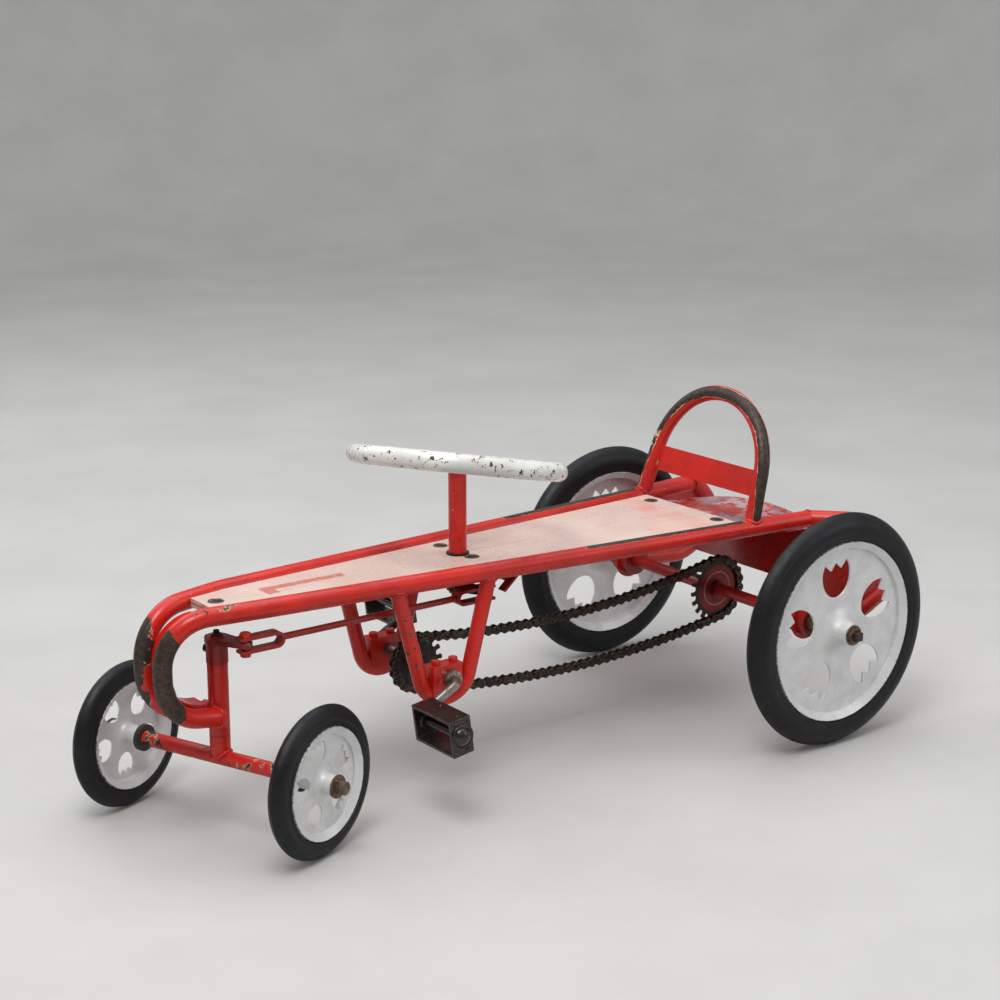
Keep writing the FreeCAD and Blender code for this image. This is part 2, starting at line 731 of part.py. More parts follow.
def chain_link(plate_y, plate_half_height, cross_radius, cross_half_length, bore_radius):
    """Two plates with their pins, or with their rollers where there is a bore."""
    plates = [link_plate(plate_y, 1.1, plate_half_height), link_plate(-plate_y - 1.1, 1.1, plate_half_height)]
    crossings = []
    bores = []
    for x in (0, size("chain_pitch")):
        start = Vector(x, -cross_half_length, 0)
        crossings.append(Part.makeCylinder(cross_radius, 2 * cross_half_length, start, LEFT))
        if bore_radius:
            bores.append(Part.makeCylinder(bore_radius, 20, Vector(x, -10, 0), LEFT))
    link = plates[0].multiFuse(plates[1:] + crossings)
    return link.cut(bores) if bores else link


def chain_feature(name, link, pins, offset):
    placed = []
    for number in range(offset, len(pins), 2):
        start = pins[number]
        end = pins[(number + 1) % len(pins)]
        heading = math.degrees(math.atan2(end.z - start.z, end.x - start.x))
        copy = link.copy()
        copy.Placement = Placement(start + chain_shift, Rotation(LEFT, -heading))
        placed.append(copy)
    feature = doc.addObject("Part::Feature", name)
    feature.Shape = Part.makeCompound(placed)
    return feature


pins = chain_pins()
lower_end = REAR_PINS + LOWER_PITCHES - 2
front_end = lower_end + FRONT_PINS
for name, teeth, first_pin, centre, hub, nearby in (
        ("rear_sprocket", int(size("rear_teeth")), REAR_FIRST_PIN, rear_centre, 11.5,
         (REAR_PINS, REAR_PINS + 1, -1, -2)),
        ("front_sprocket", int(size("front_teeth")), FRONT_FIRST_PIN, crank_centre, 12,
         (lower_end - 1, lower_end, front_end + 1, front_end + 2))):
    wheel = sprocket(name + "_blank", teeth, first_pin, hub)
    wheel.Placement = Placement(centre + chain_shift, Rotation()) * wheel.Placement
    room = [
        rod(f"{name}_room{number}", size("roller_radius") + 0.1, 8, pins[number] + LEFT, LEFT)
        for number in nearby
    ]
    keep(name, cut(name + "_cut", wheel, room))

outer_link = chain_link(3.65, 5.8, 1.8, 5.4, 0)
inner_link = chain_link(2.45, 5.7, size("roller_radius"), 2.45, 1.85)
keep("chain_outer_links", chain_feature("outer_links", outer_link, pins, 0))
keep("chain_inner_links", chain_feature("inner_links", inner_link, pins, 1))


# ---------------------------------------------------------------- crank and pedals

ARM_IN = 84.0
ARM_OUT = 104.0
PEDAL_IN = 105.0
PEDAL_OUT = 181.0
CRANK_TURNS = {"left": -size("crank_angle"), "right": 180 - size("crank_angle")}

crank_shaft = rod("crank_shaft", "Sizes.axle_diameter / 2", 2 * ARM_IN, crank_centre - LEFT * ARM_IN, LEFT)
bosses = [
    rod(name + "_crank_boss", 11.5, 6, crank_centre + LEFT * side * 77.5, LEFT * side)
    for name, side in SIDES.items()
]
keep("crank_axle", fuse("crank_axle_whole", [crank_shaft] + bosses))


def crank_arm(name, side, spindle_foot):
    """A round forged arm that leaves the axle, turns down to the pedal and turns out again."""
    start = crank_centre + LEFT * side * ARM_IN
    out = LEFT * side
    route = [start, start + out * 8, spindle_foot + out * (ARM_OUT - 8), spindle_foot + out * ARM_OUT]
    spine = doc.addObject("Part::Feature", name + "_route")
    spine.Shape = rounded_route(route, [8, 8])
    return swept_rod(name, spine, "Sizes.arm_diameter / 2")


def pedal_cage(name):
    """End plates and long treads round a pedal spindle that lies along z from the origin."""
    length = PEDAL_OUT - PEDAL_IN
    deep, tall, wall = 28.5, 45.0, 3.0
    block = box(name + "_block", deep, tall, length, Vector(-deep / 2, -tall / 2, 0))
    inside = box(name + "_inside", 2 * deep, tall - 2 * wall, length - 2 * wall,
                 Vector(-deep, -tall / 2 + wall, wall))
    hole = rod(name + "_hole", "Sizes.spindle_diameter / 2 + Sizes.running_gap", 2 * length,
               Vector(0, 0, -length / 2), UP)
    return cut(name + "_shape", block, [inside, hole])


PEDAL_PITCH = {"left": -8.2, "right": -8.2}
spindles = []
for name, side in SIDES.items():
    out = LEFT * side
    spindle_foot = polar(crank_centre, size("crank_length"), CRANK_TURNS[name])
    keep(name + "_crank_arm", crank_arm(name + "_crank", side, spindle_foot))
    spindles.append(rod(
        name + "_spindle", "Sizes.spindle_diameter / 2", PEDAL_OUT - ARM_OUT - 0.5,
        spindle_foot + out * ARM_OUT, out))
    cage = pedal_cage(name + "_cage")
    cage.Placement = Placement(spindle_foot + out * PEDAL_IN, facing(side, PEDAL_PITCH[name]))
    keep(name + "_pedal_cage", cage)
    cap = turned_body(name + "_cap", (12, 0), [dome(12, 8), (0, 0), (12, 0)])
    cap.Placement = Placement(spindle_foot + out * PEDAL_OUT, facing(side))
    keep(name + "_pedal_cap", cap)
keep("pedal_spindles", group("spindle_pair", spindles))


# ---------------------------------------------------------------- steering

column_axis = Vector(size("column_place"), 0, 0)
column_length = "Sizes.column_top - Sizes.column_foot"
keep("steering_column", tube(
    "column", "Sizes.rail_diameter / 2", "Sizes.rail_diameter / 2 - Sizes.rail_wall", column_length,
    column_axis + UP * size("column_foot"), UP))
column_bar = rod("column_bar", "Sizes.rail_diameter / 2", column_length,
                 column_axis + UP * size("column_foot"), UP)

rim_place = Placement(column_axis + UP * size("rim_height"), Rotation(UP, Vector(-0.22, -0.13, 1)))
rim = doc.addObject("Part::Torus", "rim")
bind(rim, Radius1="Sizes.rim_radius", Radius2="Sizes.rim_thickness / 2")
rim.Placement = rim_place
keep("steering_rim", rim)

wheel_hub = rod("wheel_hub", 17, 19, Vector(0, 0, -10), UP)
spokes = []
for number in range(3):
    way = Rotation(UP, 201 + 120 * number).multVec(FORWARD)
    reach = "Sizes.rim_radius - Sizes.rim_thickness / 2 - 10.2"
    spokes.append(rod(f"spoke{number}", 6, reach, way * 10, way))
for bit in [wheel_hub] + spokes:
    bit.Placement = rim_place * bit.Placement
spoke_pieces = [cut(f"spoke_cut{number}", spoke, [wheel_hub]) for number, spoke in enumerate(spokes)]
keep("steering_spokes", group("spoke_group", [cut("hub_cut", wheel_hub, [column_bar])] + spoke_pieces))


def steering_arm(name, pivot_radius, pin_radius):
    """A flat tapered arm along +x from a pivot to a link pin."""
    reach = size("arm_length")
    body, sketch = padded_body(name, "XY_Plane", 6, midplane=True)
    draw_outline(sketch, (0, 14), [((-14, 0), (0, -14)), (reach, -8), ((reach + 8, 0), (reach, 8)), (0, 14)])
    draw_circle(sketch, (reach, 0), pin_radius)
    draw_circle(sketch, (0, 0), pivot_radius)
    return body


arm_way = Rotation(UP, 90 + yaw)
link_level = UP * size("link_height")
arm_step = arm_way.multVec(FORWARD * size("arm_length"))
rear_pin = column_axis + arm_step + link_level
front_pin = FORWARD * size("wheelbase") + arm_step + link_level
turning_hole = "Sizes.pin_diameter / 2 + Sizes.running_gap"

column_arm = steering_arm("column_arm_flat", "Sizes.rail_diameter / 2", turning_hole)
column_arm.Placement = Placement(column_axis + link_level, arm_way)
keep("column_arm", column_arm)

COLLAR_FOOT = 204.5
COLLAR_TOP = 229.0
front_arm = steering_arm("front_arm_flat", "Sizes.kingpin_diameter / 2", "Sizes.pin_diameter / 2")
front_arm.Placement = Placement(FORWARD * size("wheelbase") + link_level, arm_way)
keep("front_arm", front_arm)
keep("steering_collar", tube(
    "collar", 12.7, "Sizes.kingpin_diameter / 2", COLLAR_TOP - COLLAR_FOOT,
    FORWARD * size("wheelbase") + UP * COLLAR_FOOT, UP))

pin_foot = UP * -12
keep("front_link_pin", rod("front_pin_rod", "Sizes.pin_diameter / 2", 24, front_pin + pin_foot, UP))
keep("rear_link_pin", rod("rear_pin_rod", "Sizes.pin_diameter / 2", 24, rear_pin + pin_foot, UP))


CLEVIS_REACH = 48.0
ROD_SINK = 4.0


def clevis(name, pin, way, pin_radius):
    """A strap bent into a fork: two cheeks round a link pin, and a round end at the rod."""
    cheek, half_height = 3.5, 9.5
    body, sketch = padded_body(name, "XZ_Plane", 15, midplane=True)
    inner = half_height - cheek
    round_start = CLEVIS_REACH - half_height
    draw_outline(sketch, (-8, half_height), [
        (round_start, half_height),
        ((CLEVIS_REACH, 0), (round_start, -half_height)),
        (-8, -half_height),
        (-8, -inner),
        (round_start, -inner),
        ((round_start + inner, 0), (round_start, inner)),
        (-8, inner),
        (-8, half_height),
    ])
    hole = rod(name + "_hole", pin_radius, 40, Vector(0, 0, -20), UP)
    rod_end = Vector(CLEVIS_REACH - ROD_SINK, 0, 0)
    socket = rod(name + "_socket", "Sizes.pin_diameter / 2", 10, rod_end, FORWARD)
    fork = cut(name + "_fork", body, [hole, socket])
    fork.Placement = Placement(pin, Rotation(FORWARD, way))
    return fork


rear_clevis = clevis("rear_clevis", rear_pin, FORWARD, "Sizes.pin_diameter / 2")
front_clevis = clevis("front_clevis", front_pin, -FORWARD, "Sizes.pin_diameter / 2 + 0.3")
keep("link_clevises", group("clevis_pair", [rear_clevis, front_clevis]))
keep("drag_rod", rod(
    "drag_bar", "Sizes.pin_diameter / 2", front_pin.x - rear_pin.x - 2 * (CLEVIS_REACH - ROD_SINK),
    rear_pin + FORWARD * (CLEVIS_REACH - ROD_SINK), FORWARD))


# ---------------------------------------------------------------- front axle

def along_axle(distance):
    return kingpin_foot + axle_way * distance


BEAM_HALF = 113.0
AXLE_ROD_HALF = 178.0
HUB_OUT = size("front_half_track") + FRONT_HUB_OUT
beam_bar = rod("beam_bar", "Sizes.beam_diameter / 2", 2 * BEAM_HALF, along_axle(-BEAM_HALF), axle_way)
axle_bar = rod("axle_bar", "Sizes.axle_diameter / 2", 2 * AXLE_ROD_HALF, along_axle(-AXLE_ROD_HALF), axle_way)
keep("front_beam", cut("beam", beam_bar, [axle_bar]))

stub = rod("kingpin_stub", "Sizes.head_diameter / 2", 117.5 - kingpin_foot.z, kingpin_foot, UP)
stem = rod("kingpin_stem", "Sizes.kingpin_diameter / 2", 236 - kingpin_foot.z, kingpin_foot, UP)
keep("kingpin", cut("kingpin_cut", fuse("kingpin_whole", [stub, stem]), [beam_bar]))

cups = []
axle_washers = []
split_pins = []
for name, side in SIDES.items():
    out = axle_way * side
    cups.append(tube(
        name + "_cup", 16, "Sizes.axle_diameter / 2", 6, along_axle(side * BEAM_HALF), out))
    axle_washers.append(tube(
        name + "_stub_washer", 13.5, "Sizes.axle_diameter / 2", 2.5, along_axle(side * (HUB_OUT + 0.5)), out))
    pin_way = Rotation(axle_way, 35 * side).multVec(UP)
    split_pins.append(rod(
        name + "_split_pin", 1.6, 26, along_axle(side * (HUB_OUT + 6)) - pin_way * 13, pin_way))
keep("front_hub_cups", group("cup_pair", cups))
keep("front_axle_washers", group("stub_washers", axle_washers))
keep("front_split_pins", group("split_pin_pair", split_pins))
keep("front_axle_rod", cut("axle_rod", axle_bar, split_pins))


# ---------------------------------------------------------------- check and write

doc.recompute()
for item in doc.Objects:
    assert "Invalid" not in item.State and "Error" not in item.State, item.Name
for label, piece in parts.items():
    assert not piece.Shape.isNull() and piece.Shape.isValid(), label
    assert piece.Shape.Solids, label

whole = FreeCAD.BoundBox()
for piece in parts.values():
    whole.add(piece.Shape.optimalBoundingBox())
centre = Placement(Vector(-whole.Center.x, 0, 0), Rotation())
print(f"kart centred by {-whole.Center.x:.3f} mm")
print(f"box {whole.XLength:.1f} x {whole.YLength:.1f} x {whole.ZLength:.1f}")

os.makedirs("parts", exist_ok=True)
for label, piece in parts.items():
    piece.Placement = centre * piece.Placement
doc.recompute()
for label, piece in parts.items():
    piece.Shape.exportStep(f"parts/{label}.step")
print(len(parts), "sub-parts written")
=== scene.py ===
import math
import random

import bmesh
import bpy
from mathutils import Matrix, Quaternion, Vector


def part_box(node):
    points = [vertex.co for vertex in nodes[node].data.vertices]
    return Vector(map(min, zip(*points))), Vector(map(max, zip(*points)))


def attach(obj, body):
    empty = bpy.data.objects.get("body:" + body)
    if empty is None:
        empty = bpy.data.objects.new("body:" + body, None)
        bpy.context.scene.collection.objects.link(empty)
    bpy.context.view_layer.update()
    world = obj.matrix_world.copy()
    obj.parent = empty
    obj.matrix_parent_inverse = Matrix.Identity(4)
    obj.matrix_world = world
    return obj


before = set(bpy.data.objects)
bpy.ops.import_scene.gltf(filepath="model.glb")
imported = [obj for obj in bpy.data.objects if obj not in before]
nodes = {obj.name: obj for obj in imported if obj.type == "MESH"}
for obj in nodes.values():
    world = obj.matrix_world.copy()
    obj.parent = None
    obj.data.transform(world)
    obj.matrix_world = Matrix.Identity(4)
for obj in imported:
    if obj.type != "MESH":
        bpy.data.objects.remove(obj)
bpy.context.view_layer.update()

scene = bpy.context.scene
random.seed(7)

# The kart's own places are millimetres from the middle of the rear axle, on the ground.
shaft_low, shaft_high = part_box("rear_axle_shaft")
AXLE_X = (shaft_low.x + shaft_high.x) / 2
MM = 0.001
UP = Vector((0, 0, 1))
FORWARD = Vector((1, 0, 0))
LEFT = Vector((0, 1, 0))
YAW = math.radians(21)
AXLE_WAY = Vector((-math.sin(YAW), math.cos(YAW), 0))
HOOP_LEAN = math.radians(17.2)
SIDES = {"left": 1, "right": -1}


def at(x, y, z):
    return Vector((AXLE_X + x * MM, y * MM, z * MM))


# ---------------------------------------------------------------- camera, light and floor

camera = bpy.data.objects.new("camera", bpy.data.cameras.new("camera"))
scene.collection.objects.link(camera)
camera.location = at(1843.6, 1974.3, 974.7)
camera.rotation_euler = (math.radians(75.39), 0, math.radians(143.12))
camera.data.lens = 74.46
camera.data.sensor_width = 36
camera.data.clip_end = 400
scene.camera = camera
scene.view_settings.view_transform = "Standard"

world = bpy.data.worlds.new("studio")
world.use_nodes = True
world.node_tree.nodes["Background"].inputs["Color"].default_value = (0.93, 0.95, 1.0, 1)
world.node_tree.nodes["Background"].inputs["Strength"].default_value = 0.62
scene.world = world


def softbox(name, place, target, width, power, colour=(1, 1, 1)):
    lamp = bpy.data.objects.new(name, bpy.data.lights.new(name, "AREA"))
    lamp.data.size = width
    lamp.data.energy = power
    lamp.data.color = colour
    lamp.location = place
    lamp.rotation_euler = (target - place).to_track_quat("-Z", "Y").to_euler()
    scene.collection.objects.link(lamp)


middle = at(360, 0, 150)
softbox("key_light", at(1500, 900, 2600), middle, 1.1, 36, (1.0, 0.985, 0.96))
softbox("top_light", at(0, -300, 2700), middle, 2.2, 16)
softbox("side_light", at(-1600, 2100, 1500), middle, 1.6, 14, (0.95, 0.97, 1.0))
softbox("back_light", at(900, -2400, 1900), middle, 1.8, 16)
softbox("room_light", Vector((0, 0, 5.6)), Vector((0, 0, 0)), 7.0, 120)


# ---------------------------------------------------------------- materials

class Finish:
    """A node material. Places are metres in the kart's frame, colours are linear."""

    def __init__(self, name):
        self.material = bpy.data.materials.new(name)
        self.material.use_nodes = True
        self.tree = self.material.node_tree
        self.surface = self.tree.nodes["Principled BSDF"]
        self.place = self.add("TexCoord").outputs["Object"]

    def put(self, socket, value):
        if isinstance(value, bpy.types.NodeSocket):
            self.tree.links.new(value, socket)
        elif isinstance(value, tuple) and socket.type == "RGBA":
            socket.default_value = (*value, 1)
        else:
            socket.default_value = value

    def add(self, kind, inputs=None, **settings):
        node = self.tree.nodes.new("ShaderNode" + kind)
        for name, value in settings.items():
            setattr(node, name, value)
        for name, value in (inputs or {}).items():
            self.put(node.inputs[name], value)
        return node

    def calc(self, operation, first, second=0.0, clamp=False):
        node = self.add("Math", {0: first, 1: second}, operation=operation, use_clamp=clamp)
        return node.outputs[0]

    def total(self, values):
        result = values[0]
        for value in values[1:]:
            result = self.calc("ADD", result, value)
        return result

    def vector(self, operation, first, second):
        node = self.add("VectorMath", {0: first, 1: second}, operation=operation)
        return node.outputs["Value" if operation in ("DOT_PRODUCT", "LENGTH") else "Vector"]

    def step(self, value, low, high, start=0.0, end=1.0):
        node = self.add("MapRange", {0: value, 1: low, 2: high, 3: start, 4: end}, interpolation_type="SMOOTHSTEP")
        return node.outputs[0]

    def mix(self, share, first, second):
        node = self.add("Mix", data_type="RGBA")
        self.put(node.inputs[0], share)
        self.put(node.inputs[6], first)
        self.put(node.inputs[7], second)
        return node.outputs[2]

    def noise(self, scale, detail=4.0, rough=0.55, stretch=None, shift=0.0):
        place = self.place
        if stretch or shift:
            place = self.add("Mapping", {
                "Vector": place, "Location": (shift, shift, shift), "Scale": stretch or (1, 1, 1)}).outputs[0]
        return self.add("TexNoise", {
            "Vector": place, "Scale": scale, "Detail": detail, "Roughness": rough}).outputs["Fac"]

    def cells(self, scale, feature="F1", output="Distance"):
        return self.add("TexVoronoi", {"Vector": self.place, "Scale": scale}, feature=feature).outputs[output]

    def lump(self, centre, reach, soft=0.5):
        """One inside an ellipsoid, falling to nothing at its skin."""
        offset = self.vector("SUBTRACT", self.place, tuple(centre))
        scaled = self.vector("DIVIDE", offset, tuple(size * MM for size in reach))
        return self.step(self.vector("LENGTH", scaled, (0, 0, 0)), 1 - soft, 1, 1, 0)

    def along(self, way, origin):
        """Millimetres from a place, measured along a direction."""
        offset = self.vector("SUBTRACT", self.place, tuple(origin))
        return self.calc("MULTIPLY", self.vector("DOT_PRODUCT", offset, tuple(way)), 1000.0)

    def from_axis(self, origin, way):
        """Millimetres from a line."""
        offset = self.vector("SUBTRACT", self.place, tuple(origin))
        return self.calc("MULTIPLY", self.vector(
            "LENGTH", self.vector("CROSS_PRODUCT", offset, tuple(way)), (0, 0, 0)), 1000.0)

    def band(self, value, low, high, soft):
        """One between two values."""
        return self.calc("MULTIPLY", self.step(value, low - soft, low), self.step(value, high, high + soft, 1, 0))

    def corners(self, radius=1.2):
        """One along sharp outside and inside edges."""
        rounded = self.add("Bevel", {"Radius": radius * MM}, samples=6).outputs[0]
        flat = self.add("NewGeometry").outputs["Normal"]
        return self.step(self.vector("DOT_PRODUCT", rounded, flat), 0.98, 0.80)

    def finish(self, colour, rough, metal=0.0, height=None, depth=0.3, round_edges=0.5, coat=0.0, gloss=0.4):
        self.put(self.surface.inputs["Base Color"], colour)
        self.put(self.surface.inputs["Roughness"], rough)
        self.put(self.surface.inputs["Metallic"], metal)
        self.put(self.surface.inputs["Coat Weight"], coat)
        self.surface.inputs["Coat Roughness"].default_value = 0.18
        self.surface.inputs["Specular IOR Level"].default_value = gloss
        rounded = self.add("Bevel", {"Radius": round_edges * MM}, samples=4).outputs[0]
        if height is not None:
            rounded = self.add("Bump", {
                "Strength": 0.8, "Distance": depth * MM, "Height": height, "Normal": rounded}).outputs[0]
        self.tree.links.new(rounded, self.surface.inputs["Normal"])
        return self.material


CREAM = (0.62, 0.47, 0.30)
RED = (0.56, 0.013, 0.006)
DEEP_RED = (0.30, 0.010, 0.007)


def enamel(name, paint, wear=0.0, worn=None, flakes=1.0, rough=0.24, edge_wear=0.10, grain_scale=105, rim=0.012):
    """Chipped enamel: paint, its pale undercoat at the rim of each chip, and dark bare steel."""
    skin = Finish(name)
    grain = skin.noise(grain_scale, 5, 0.62)
    fine = skin.noise(430, 2, 0.6, shift=3.1)
    level = skin.total([
        skin.calc("MULTIPLY", grain, 0.78), skin.calc("MULTIPLY", fine, 0.22), wear,
        skin.calc("MULTIPLY", skin.corners(), edge_wear)])
    if worn:
        level = skin.calc("ADD", level, worn(skin))
    bare = skin.step(level, 0.672, 0.682)
    lifted = skin.step(level, 0.662 - rim, 0.670 - rim)
    ring = skin.calc("MULTIPLY", lifted, skin.step(skin.noise(48, 2, 0.5, shift=9.0), 0.47, 0.56, 0.06, flakes))
    cloud = skin.step(skin.noise(16, 4, 0.6), 0.35, 0.70)
    dull = skin.mix(cloud, paint, tuple(0.74 * part + 0.004 for part in paint))
    dusty = skin.mix(skin.step(skin.noise(70, 4, 0.7, shift=1.7), 0.55, 0.85, 0.0, 0.16), dull, (0.42, 0.25, 0.20))
    pits = skin.step(skin.noise(640, 1, 0.5, shift=5.0), 0.735, 0.76, 0.0, 0.85)
    speckled = skin.mix(pits, dusty, (0.05, 0.028, 0.020))
    rust = skin.mix(skin.step(skin.noise(170, 4, 0.65, shift=2.2), 0.4, 0.68), (0.036, 0.026, 0.022), (0.082, 0.050, 0.038))
    bright = skin.step(skin.noise(330, 3, 0.6, shift=6.4), 0.60, 0.76, 0.0, 0.35)
    steel = skin.mix(bright, rust, (0.17, 0.135, 0.115))
    colour = skin.mix(bare, skin.mix(ring, speckled, CREAM), steel)
    gloss = skin.step(skin.noise(34, 3, 0.6, shift=4.0), 0.3, 0.75, rough, rough + 0.14)
    roughness = skin.add("Mix", data_type="FLOAT")
    skin.put(roughness.inputs[0], lifted)
    skin.put(roughness.inputs[2], gloss)
    skin.put(roughness.inputs[3], skin.step(fine, 0.3, 0.7, 0.36, 0.60))
    ripple = skin.calc("MULTIPLY", skin.noise(150, 2, 0.5, shift=7.0), 0.12)
    pitting = skin.calc("MULTIPLY", skin.calc("MULTIPLY", fine, bare), 0.8)
    layer = skin.calc("MULTIPLY", skin.calc("ADD", lifted, bare), -0.4)
    height = skin.total([ripple, pitting, layer])
    metal = skin.calc("MULTIPLY", bare, 0.45)
    return skin.finish(colour, roughness.outputs[0], metal, height, 0.35, coat=0.05)


def weighted(skin, patches):
    """Wear patches: places and reaches in the kart's millimetres, each with its strength."""
    return skin.total([
        skin.calc("MULTIPLY", skin.lump(at(*centre), reach), strength) for centre, reach, strength in patches])


def rail_wear(side):
    """The nose is bare in front, the top chipped behind it, and the seat's edge rubbed beside the board."""
    def worn(skin):
        nose = weighted(skin, [
            ((850, side * 27, 228), (34, 22, 52), 0.62 if side > 0 else 0.50),
            ((842, side * 29, 182), (30, 22, 48), 0.60 if side > 0 else 0.34),
            ((770, side * 34, 280), (66, 22, 16), 0.16 if side > 0 else 0.06),
        ])
        forward = skin.along(FORWARD, at(0, 0, 0))
        rise = skin.calc("SUBTRACT", skin.along(UP, at(0, 0, 265.5)), skin.calc("MULTIPLY", forward, 0.0096))
        strip = skin.calc("MULTIPLY", skin.step(rise, 8.6, 10.6), skin.band(forward, 62, 283, 22))
        return skin.calc("ADD", nose, skin.calc("MULTIPLY", strip, 0.42))
    return worn


def hoop_wear(skin):
    """A rubbed band: on the face of the hoop's top, turning to the outside down the left leg."""
    slope = Vector((-math.sin(HOOP_LEAN), 0, math.cos(HOOP_LEAN)))
    face = Vector((math.cos(HOOP_LEAN), 0, math.sin(HOOP_LEAN)))
    foot = at(36.3, 0, 268)
    rise = skin.along(slope, foot)
    across = skin.along(LEFT, foot)
    above = skin.calc("MAXIMUM", skin.calc("SUBTRACT", rise, 57.0), 0.0)
    below = skin.calc("MULTIPLY", skin.calc("MAXIMUM", skin.calc("SUBTRACT", 57.0, rise), 0.0), 0.123)
    radius = skin.calc("SQRT", skin.calc("ADD", skin.calc("POWER", across, 2.0), skin.calc("POWER", above, 2.0)))
    outward = skin.calc("SUBTRACT", radius, skin.calc("ADD", 100.5, below))
    front = skin.along(face, foot)
    turn = skin.total([
        skin.step(across, 0.0, 95.0, 0.10, 1.05),
        skin.step(across, -95.0, 0.0, 0.35, 0.0),
        skin.step(rise, 20.0, 95.0, 0.55, 0.0)])
    toward = skin.calc("ADD", skin.calc("MULTIPLY", outward, skin.calc("SINE", turn)),
                       skin.calc("MULTIPLY", front, skin.calc("COSINE", turn)))
    fade = skin.step(across, -100.0, -70.0, 0.62, 1.0)
    return skin.calc("MULTIPLY", skin.calc("MULTIPLY", skin.step(toward, 4.4, 9.0), fade), 0.60)


def beam_wear(skin):
    return skin.calc("MULTIPLY", skin.step(skin.noise(26, 3, 0.6), 0.38, 0.62), 0.12)


def hanger_wear(skin):
    return weighted(skin, [((545, 70, 190), (26, 30, 80), 0.12), ((512, 70, 120), (24, 26, 30), 0.08)])


def shaft_wear(skin):
    """Painted between the hooks and bare where the wheels and nuts sit."""
    return skin.calc("MULTIPLY", skin.step(skin.calc("ABSOLUTE", skin.along(LEFT, at(0, 0, 0))), 196, 204), 0.4)


def block_wear(skin):
    return weighted(skin, [((498, 78, 150), (16, 6, 15), 0.14)])


def painted(label, *members, **choices):
    finish = enamel(label, RED, **choices)
    for member in members:
        dress(member, finish)


def dress(node, material):
    mesh = nodes[node].data
    mesh.materials.clear()
    mesh.materials.append(material)


def silver(name, centre, way, lip):
    """Dull silver paint, stained here and there and flecked along the rim's lip."""
    skin = Finish(name)
    radius = skin.from_axis(centre, way)
    cloud = skin.step(skin.noise(38, 5, 0.65), 0.36, 0.68)
    base = skin.mix(cloud, (0.70, 0.70, 0.705), (0.61, 0.61, 0.61))
    speck = skin.step(skin.noise(700, 2, 0.5, shift=2.0), 0.60, 0.72, 0.0, 0.35)
    fine = skin.mix(speck, base, (0.20, 0.185, 0.17))
    stain = skin.step(skin.noise(64, 5, 0.7, shift=4.0), 0.62, 0.80, 0.0, 0.30)
    stained = skin.mix(stain, fine, (0.30, 0.25, 0.19))
    rim = skin.step(radius, lip - 2.2, lip - 0.6)
    grime = skin.calc("MULTIPLY", rim, skin.step(skin.noise(260, 4, 0.7, shift=8.0), 0.46, 0.56, 0.0, 0.85))
    worn = skin.mix(grime, stained, (0.065, 0.052, 0.042))
    chips = skin.step(skin.calc("ADD", skin.noise(130, 5, 0.65, shift=6.0), skin.calc("MULTIPLY", skin.corners(), 0.06)),
                      0.735, 0.745)
    colour = skin.mix(chips, worn, (0.055, 0.045, 0.040))
    height = skin.total([
        skin.calc("MULTIPLY", skin.noise(240, 3, 0.6), 0.35), skin.calc("MULTIPLY", chips, -0.5)])
    metal = skin.calc("SUBTRACT", 0.30, skin.calc("MULTIPLY", grime, 0.3))
    rough = skin.step(cloud, 0.0, 1.0, 0.42, 0.52)
    return skin.finish(colour, rough, metal, height, 0.25)


def rubber(name, centre, way, lip, radius):
    """Old black rubber, dusty on its crown, with moulded lines round the side."""
    skin = Finish(name)
    distance = skin.from_axis(centre, way)
    cloud = skin.step(skin.noise(24, 4, 0.6), 0.35, 0.7)
    base = skin.mix(cloud, (0.004, 0.0045, 0.006), (0.008, 0.008, 0.010))
    dust = skin.calc("MULTIPLY", skin.step(distance, lip + 8, radius, 0.25, 1.0),
                     skin.step(skin.noise(90, 5, 0.7, shift=3.0), 0.50, 0.85, 0.0, 0.40))
    dusty = skin.mix(dust, base, (0.050, 0.044, 0.038))
    seam = skin.band(distance, lip + 3.2, lip + 4.2, 0.5)
    second = skin.band(distance, radius - 9.5, radius - 8.9, 0.4)
    # The first moulded line is also painted darker: painted shade in its groove.
    colour = skin.mix(skin.calc("MULTIPLY", seam, 0.5), dusty, (0.006, 0.006, 0.006))
    height = skin.total([
        skin.calc("MULTIPLY", seam, -1.2), skin.calc("MULTIPLY", second, -0.5),
        skin.calc("MULTIPLY", skin.noise(620, 2, 0.5), 0.10)])
    rough = skin.step(skin.noise(60, 4, 0.7, shift=5.0), 0.3, 0.75, 0.38, 0.56)
    return skin.finish(colour, rough, 0.0, height, 0.5, gloss=0.28)


def steel(name, clean, dark, metal=0.75, rough=(0.34, 0.62), scale=210.0, share=(0.36, 0.66)):
    """Bare or plated steel with rust and old grease."""
    skin = Finish(name)
    patch = skin.step(skin.noise(scale, 5, 0.66), *share)
    colour = skin.mix(patch, clean, dark)
    spot = skin.step(skin.noise(scale * 2.6, 3, 0.6, shift=5.0), 0.64, 0.72, 0.0, 0.6)
    colour = skin.mix(spot, colour, (0.17, 0.075, 0.035))
    shine = skin.calc("MULTIPLY", skin.calc("SUBTRACT", 1.0, spot), metal)
    height = skin.calc("MULTIPLY", skin.noise(scale * 3, 3, 0.6), 0.5)
    return skin.finish(colour, skin.step(patch, 0.0, 1.0, *rough), shine, height, 0.2)


